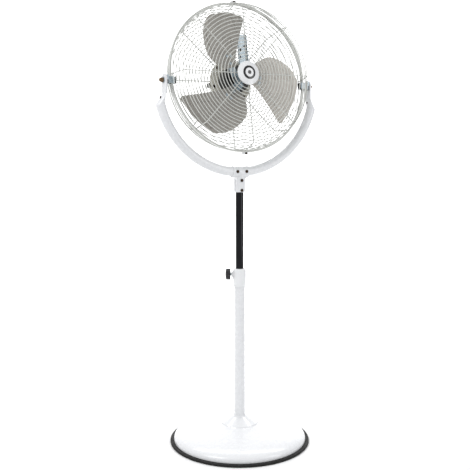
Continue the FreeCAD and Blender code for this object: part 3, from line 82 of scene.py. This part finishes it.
def remap(tree, value, low, high):
    node = tree.nodes.new("ShaderNodeMapRange")
    node.inputs["From Min"].default_value = NOISE_LOW
    node.inputs["From Max"].default_value = NOISE_HIGH
    node.inputs["To Min"].default_value = low
    node.inputs["To Max"].default_value = high
    tree.links.new(value, node.inputs["Value"])
    return node.outputs["Result"]


def mix(tree, fac, first, second):
    node = tree.nodes.new("ShaderNodeMix")
    node.data_type = "RGBA"
    tree.links.new(fac, node.inputs["Factor"])
    node.inputs["A"].default_value = (*first, 1)
    node.inputs["B"].default_value = (*second, 1)
    return node.outputs["Result"]


def bump(tree, bsdf, height, strength, distance):
    node = tree.nodes.new("ShaderNodeBump")
    node.inputs["Strength"].default_value = strength
    node.inputs["Distance"].default_value = distance
    tree.links.new(height, node.inputs["Height"])
    tree.links.new(node.outputs["Normal"], bsdf.inputs["Normal"])


def finish_material(name, light, dark, rough, metallic=0.0, coat=0.0, grain=700.0,
                    grain_depth=0.00003, grain_strength=0.25, patch=14.0, stretch=None,
                    coat_rough=0.08, ior=1.5):
    """A surface with soft colour patches, uneven gloss and a fine relief."""
    mat, tree, bsdf, vector = node_material(name)
    bsdf.inputs["Metallic"].default_value = metallic
    bsdf.inputs["Coat Weight"].default_value = coat
    bsdf.inputs["Coat Roughness"].default_value = coat_rough
    bsdf.inputs["IOR"].default_value = ior
    patches = noise(tree, vector, patch, detail=4.0, rough=0.55, stretch=stretch)
    tree.links.new(mix(tree, patches, light, dark), bsdf.inputs["Base Color"])
    spots = noise(tree, vector, patch * SPOTS_PER_PATCH, detail=5.0, rough=0.6, stretch=stretch)
    tree.links.new(remap(tree, spots, rough[0], rough[1]), bsdf.inputs["Roughness"])
    fine = noise(tree, vector, grain, detail=2.0, rough=0.5, stretch=stretch)
    bump(tree, bsdf, fine, grain_strength, grain_depth)
    return mat


WHITE_MOULDING = {
    "light": (0.83, 0.84, 0.85),
    "dark": (0.79, 0.80, 0.81),
    "rough": (0.18, 0.28),
    "coat": 0.3,
    "grain": 800,
}

MATERIALS = {
    "white_paint": finish_material(
        "white_powder_coat", (0.80, 0.81, 0.82), (0.75, 0.76, 0.78), (0.22, 0.32),
        coat=0.35, grain=420, grain_depth=0.00001, grain_strength=0.1),
    "guard_paint": finish_material(
        "guard_powder_coat", (0.64, 0.65, 0.62), (0.54, 0.55, 0.52), (0.25, 0.38),
        coat=0.25, grain=900, patch=40),
    "blade_paint": finish_material(
        "blade_satin_grey", (0.42, 0.40, 0.365), (0.34, 0.325, 0.30), (0.24, 0.34),
        metallic=0.6, coat=0.15, grain=600, grain_depth=0.000004, grain_strength=0.05, patch=9),
    "cream_paint": finish_material(
        "cream_paint", (0.72, 0.70, 0.62), (0.65, 0.63, 0.55), (0.30, 0.45),
        coat=0.2, grain=500),
    "black_paint": finish_material(
        "black_satin_paint", (0.018, 0.018, 0.018), (0.03, 0.03, 0.03), (0.35, 0.5),
        grain=500),
    # painted reflection: the near-black base colour of this polished chrome tube stands in for the
    # dark room it mirrors
    "dark_chrome": finish_material(
        "polished_tube_painted_dark_reflection", (0.035, 0.035, 0.037), (0.025, 0.025, 0.027), (0.08, 0.15),
        metallic=1.0, grain=300, grain_depth=0.00001, stretch=(1, 1, 0.08)),
    "steel": finish_material(
        "plain_steel", (0.50, 0.51, 0.53), (0.42, 0.43, 0.45), (0.28, 0.42),
        metallic=1.0, grain=500),
    "zinc": finish_material(
        "zinc_plate", (0.50, 0.57, 0.61), (0.38, 0.44, 0.48), (0.25, 0.42),
        metallic=0.9, grain=350, patch=60),
    "dark_screw": finish_material(
        "dark_screws", (0.07, 0.045, 0.03), (0.03, 0.02, 0.015), (0.25, 0.4),
        metallic=0.9, grain=900, patch=200),
    "iron": finish_material(
        "cast_iron", (0.12, 0.12, 0.125), (0.07, 0.07, 0.075), (0.55, 0.75),
        metallic=0.8, grain=260, grain_depth=0.0002, grain_strength=0.6),
    "black_rubber": finish_material(
        "black_rubber", (0.006, 0.006, 0.006), (0.012, 0.012, 0.012), (0.55, 0.75),
        grain=600, grain_depth=0.00005, ior=1.35),
    "white_plastic": finish_material("white_moulding", **WHITE_MOULDING),
    "black_plastic": finish_material(
        "black_moulding", (0.014, 0.014, 0.015), (0.024, 0.024, 0.026), (0.32, 0.45),
        grain=1100, grain_depth=0.00006, grain_strength=0.4),
    "bush_plastic": finish_material(
        "bush_plastic", (0.70, 0.70, 0.68), (0.62, 0.62, 0.60), (0.4, 0.5)),
    "bronze": finish_material(
        "aged_bronze", (0.22, 0.15, 0.09), (0.12, 0.08, 0.05), (0.25, 0.42),
        metallic=1.0, grain=500, patch=180),
    "copper": finish_material(
        "enamelled_copper", (0.60, 0.25, 0.10), (0.48, 0.18, 0.07), (0.25, 0.4),
        metallic=0.9, grain=1500, grain_depth=0.0002, grain_strength=0.7),
    "lamination": finish_material(
        "laminated_steel", (0.28, 0.29, 0.31), (0.20, 0.21, 0.23), (0.4, 0.55),
        metallic=0.9, grain=900, grain_depth=0.0001, stretch=(0.05, 3.0, 0.05)),
}


def dress_cad_nodes():
    slots = {}
    for entry in frame["record"]["subparts"]:
        slots[entry["node"]] = entry["material_slot"]
    for name, obj in NODES.items():
        mat = MATERIALS[slots[name]]
        if not obj.data.materials:
            obj.data.materials.append(mat)
        for index in range(len(obj.data.materials)):
            obj.data.materials[index] = mat


PRINT_REACH = 0.036      # the print's places are shares of this radius
PRINT_STOPS = (0.17, 0.38, 0.58)    # end of the dot, start and end of the ring
INK = (0.012, 0.012, 0.013, 1)
NO_INK = (1, 1, 1, 1)


def cap_material():
    """White moulding with a plain printed ring and dot, drawn from the distance to the fan axis."""
    mat = finish_material("printed_cap", **WHITE_MOULDING)
    tree = mat.node_tree
    bsdf = tree.nodes["Principled BSDF"]
    coords = tree.nodes.new("ShaderNodeTexCoord")
    offset = tree.nodes.new("ShaderNodeVectorMath")
    offset.operation = "SUBTRACT"
    offset.inputs[1].default_value = tuple(head_point(0, 0, CAGE_RISE))
    tree.links.new(coords.outputs["Object"], offset.inputs[0])
    cross = tree.nodes.new("ShaderNodeVectorMath")
    cross.operation = "CROSS_PRODUCT"
    cross.inputs[1].default_value = tuple(Matrix.Rotation(-TILT, 3, "X") @ Vector((0, 1, 0)))
    tree.links.new(offset.outputs["Vector"], cross.inputs[0])
    length = tree.nodes.new("ShaderNodeVectorMath")
    length.operation = "LENGTH"
    tree.links.new(cross.outputs["Vector"], length.inputs[0])
    ramp = tree.nodes.new("ShaderNodeValToRGB")
    ramp.color_ramp.interpolation = "CONSTANT"
    dot_end, ring_start, ring_end = PRINT_STOPS
    ramp.color_ramp.elements[0].position = 0.0
    ramp.color_ramp.elements[0].color = INK
    ramp.color_ramp.elements[1].position = dot_end
    ramp.color_ramp.elements[1].color = NO_INK
    for position, colour in ((ring_start, INK), (ring_end, NO_INK)):
        ramp.color_ramp.elements.new(position).color = colour
    scale = tree.nodes.new("ShaderNodeMath")
    scale.operation = "MULTIPLY"
    scale.inputs[1].default_value = 1 / PRINT_REACH
    tree.links.new(length.outputs["Value"], scale.inputs[0])
    tree.links.new(scale.outputs["Value"], ramp.inputs["Fac"])
    base = bsdf.inputs["Base Color"].links[0].from_socket
    tint = tree.nodes.new("ShaderNodeMix")
    tint.data_type = "RGBA"
    tint.blend_type = "MULTIPLY"
    tint.inputs["Factor"].default_value = 1.0
    tree.links.new(base, tint.inputs["A"])
    tree.links.new(ramp.outputs["Color"], tint.inputs["B"])
    tree.links.new(tint.outputs["Result"], bsdf.inputs["Base Color"])
    return mat


# ---------------------------------------------------------------- wire guards

RING_WIRE = 0.00135      # wire radii
SPOKE_WIRE = 0.0016
RIM_WIRE = 0.002
WELD_DEPTH = 0.0005      # how far a spoke sinks into the rings at a weld
RIM_RADIUS = 0.2315      # middle of the wire at the rim
RIM_OFFSET = 0.0022      # each guard's rim from the middle of the cage
EDGE_RADIUS = RIM_RADIUS - 0.0145    # where the face turns into the side
CORNER_RADIUS = 0.012
RING_PITCH = 0.0107
SPOKE_COUNT = 8
SIDE_RINGS = 3           # rings on the side wall, between the corner and the rim
SIDE_START = 0.75        # place of the first one, in spaces from the corner
SIDE_SPACES = 3.6        # spaces from the corner to the rim
WIRE_SIDES = 8
ARC_STEPS = 6
RING_STEPS = 96
SMALL_RING_STEPS = 64    # for rings inside SMALL_RING
SMALL_RING = 0.1
NEARLY_PARALLEL = 0.2


def head_point(x, y, z):
    """From the head's own frame, tilt axis at the origin and fan axis along Y, to the row frame."""
    spot = Matrix.Rotation(-TILT, 3, "X") @ Vector((x, y, z))
    return spot + Vector((0, 0, PIVOT_Z))


def sweep(bm, path, wire, closed):
    """A round wire along a path of points in the head's frame."""
    count = len(path)
    loops = []
    for index, point in enumerate(path):
        before = path[index - 1] if closed or index > 0 else point
        after = path[(index + 1) % count] if closed or index < count - 1 else point
        along = (after - before).normalized()
        across = along.cross(Vector((0, 1, 0)))
        if across.length < NEARLY_PARALLEL:
            across = along.cross(Vector((0, 0, 1)))
        across.normalize()
        over = along.cross(across).normalized()
        loop = []
        for step in range(WIRE_SIDES):
            angle = 2 * math.pi * step / WIRE_SIDES
            spot = point + across * (wire * math.cos(angle)) + over * (wire * math.sin(angle))
            loop.append(bm.verts.new(head_point(*spot)))
        loops.append(loop)
    for index in range(count if closed else count - 1):
        first = loops[index]
        second = loops[(index + 1) % count]
        for step in range(WIRE_SIDES):
            follow = (step + 1) % WIRE_SIDES
            face = bm.faces.new((first[step], first[follow], second[follow], second[step]))
            face.smooth = True
    if not closed:
        bm.faces.new(loops[0][::-1])
        bm.faces.new(loops[-1])


def on_ring(radius, y, angle):
    return Vector((radius * math.cos(angle), y, CAGE_RISE + radius * math.sin(angle)))


def guard_profile(eye, centre, face, offset):
    """Wire centreline as (radius, distance from the rim): start, corner arc, end."""
    start = Vector((eye, centre))
    corner = Vector((EDGE_RADIUS, face))
    end = Vector((RIM_RADIUS, RIM_OFFSET))
    first = (corner - start).normalized()
    second = (end - corner).normalized()
    first_side = Vector((first.y, -first.x))
    second_side = Vector((second.y, -second.x))
    bisector = (first_side + second_side).normalized()
    start = start + first_side * offset
    end = end + second_side * offset
    corner = corner + bisector * (offset / bisector.dot(first_side))
    turn = math.acos(first.dot(second))
    radius = CORNER_RADIUS - offset
    trim = radius * math.tan(turn / 2)
    middle = corner + (second - first).normalized() * (radius / math.cos(turn / 2))
    begin = corner - first * trim
    arc = []
    for step in range(ARC_STEPS + 1):
        angle = -turn * step / ARC_STEPS
        arc.append(middle + Matrix.Rotation(angle, 2) @ (begin - middle))
    return start, arc, end


def add_mesh(name, bm, material):
    mesh = bpy.data.meshes.new(name)
    bm.to_mesh(mesh)
    bm.free()
    mesh.materials.append(material)
    obj = bpy.data.objects.new(name, mesh)
    bpy.context.scene.collection.objects.link(obj)
    return obj


def make_guard(name, node, eye, centre, face, ring_start, ring_count, facing):
    """Rings and spokes: eye is the innermost ring, centre and face its and the corner's depth."""
    start, arc, end = guard_profile(eye, centre, face, 0)
    slope = (face - centre) / (EDGE_RADIUS - eye)
    rings = [(eye, centre, SPOKE_WIRE)]
    for step in range(ring_count):
        radius = ring_start + RING_PITCH * step
        rings.append((radius, centre + slope * (radius - eye), RING_WIRE))
    bend = arc[ARC_STEPS // 2]
    rings.append((bend.x, bend.y, RING_WIRE))
    for step in range(SIDE_RINGS):
        spot = arc[-1] + (end - arc[-1]) * ((step + SIDE_START) / SIDE_SPACES)
        rings.append((spot.x, spot.y, RING_WIRE))
    rings.append((RIM_RADIUS, RIM_OFFSET, RIM_WIRE))
    bm = bmesh.new()
    for radius, distance, wire in rings:
        count = RING_STEPS if radius > SMALL_RING else SMALL_RING_STEPS
        path = []
        for step in range(count):
            path.append(on_ring(radius, facing * distance, 2 * math.pi * step / count))
        sweep(bm, path, wire, True)
    start, arc, end = guard_profile(eye, centre, face, RING_WIRE + SPOKE_WIRE - WELD_DEPTH)
    for step in range(SPOKE_COUNT):
        angle = 2 * math.pi * step / SPOKE_COUNT + math.pi / 2
        path = [on_ring(spot.x, facing * spot.y, angle) for spot in [start, *arc, end]]
        sweep(bm, path, SPOKE_WIRE, False)
    bmesh.ops.recalc_face_normals(bm, faces=bm.faces)
    guard = add_mesh(name, bm, MATERIALS["guard_paint"])
    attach(guard, "head")
    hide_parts(node)


# ---------------------------------------------------------------- stage, lights and camera

CAMERA_YAW = math.radians(28.5)
CAMERA_DISTANCE = 2.3625
CAMERA_HEIGHT = 0.943
CAMERA_PITCH = math.radians(6.5)
CAMERA_NEAR = 0.05
CAMERA_FAR = 60.0
SENSOR_WIDTH = 36.0      # millimetres, as is the focal length
FOCAL_LENGTH = 57.2745
LENS_SHIFT = -0.00979    # share of the picture's width

STAGE_REACH = 9.0        # half width of the floor, its near end and the wall's height
STAGE_DEPTH = 5.0        # where the floor starts to curve up
STAGE_CURVE = 1.6
STAGE_STEPS = 8

AIM_HEIGHT = 0.8
WORLD_COLOUR = (0.98, 0.985, 1.0, 1)
WORLD_STRENGTH = 0.62

def add_stage():
    """A floor that curves up into a wall behind the fan."""
    profile = [(-STAGE_REACH, 0.0), (STAGE_DEPTH, 0.0)]
    for step in range(1, STAGE_STEPS + 1):
        angle = math.pi / 2 * step / STAGE_STEPS
        rise = STAGE_CURVE * (1 - math.cos(angle))
        profile.append((STAGE_DEPTH + STAGE_CURVE * math.sin(angle), rise))
    profile.append((STAGE_DEPTH + STAGE_CURVE, STAGE_REACH))
    bm = bmesh.new()
    rows = []
    for side in (-STAGE_REACH, STAGE_REACH):
        rows.append([bm.verts.new((side, y, z)) for y, z in profile])
    for index in range(len(profile) - 1):
        follow = index + 1
        corners = (rows[0][index], rows[1][index], rows[1][follow], rows[0][follow])
        bm.faces.new(corners).smooth = True
    material = finish_material(
        "studio_floor", (0.86, 0.86, 0.86), (0.85, 0.85, 0.85), (0.75, 0.85), grain=60, patch=1)
    floor = add_mesh("floor", bm, material)
    floor.rotation_euler = (0, 0, -CAMERA_YAW)


def add_area(name, location, target, size, power):
    light = bpy.data.lights.new(name, "AREA")
    light.shape = "RECTANGLE"
    light.size = size[0]
    light.size_y = size[1]
    light.energy = power
    obj = bpy.data.objects.new(name, light)
    obj.location = location
    aim = Vector(target) - Vector(location)
    obj.rotation_euler = aim.to_track_quat("-Z", "Y").to_euler()
    bpy.context.scene.collection.objects.link(obj)


def turned(x, y, z):
    """A place given from the camera's side: x to its right, y away from it."""
    spot = Matrix.Rotation(-CAMERA_YAW, 3, "Z") @ Vector((x, y, z))
    return tuple(spot)


def add_lights():
    world = bpy.data.worlds.new("studio")
    world.use_nodes = True
    background = world.node_tree.nodes["Background"]
    background.inputs["Color"].default_value = WORLD_COLOUR
    background.inputs["Strength"].default_value = WORLD_STRENGTH
    bpy.context.scene.world = world
    middle = (0, 0, AIM_HEIGHT)
    wall = turned(0, 5.5, 1.0)
    add_area("key", turned(-1.9, -1.6, 2.7), middle, size=(1.4, 2.0), power=46)
    add_area("fill", turned(2.4, -1.2, 1.4), middle, size=(1.0, 2.4), power=16)
    add_area("backdrop_wash", turned(0.0, 2.0, 3.8), wall, size=(5.0, 2.0), power=420)
    bpy.context.scene.view_settings.view_transform = "Standard"


def add_camera():
    data = bpy.data.cameras.new("camera")
    data.sensor_width = SENSOR_WIDTH
    data.lens = FOCAL_LENGTH
    data.shift_x = LENS_SHIFT
    data.clip_start = CAMERA_NEAR
    data.clip_end = CAMERA_FAR
    camera = bpy.data.objects.new("camera", data)
    camera.location = turned(0, -CAMERA_DISTANCE, CAMERA_HEIGHT)
    camera.rotation_euler = (math.radians(90) - CAMERA_PITCH, 0, -CAMERA_YAW)
    bpy.context.scene.collection.objects.link(camera)
    bpy.context.scene.camera = camera


# ---------------------------------------------------------------- the scene

dress_cad_nodes()
NODES["centre_cap"].data.materials[0] = cap_material()
make_guard("front_wires", "front_guard", eye=0.034, centre=0.056, face=0.060,
           ring_start=0.047, ring_count=16, facing=-1)
make_guard("rear_wires", "rear_guard", eye=0.066, centre=0.064, face=0.067,
           ring_start=0.078, ring_count=13, facing=1)
add_camera()
add_stage()
add_lights()
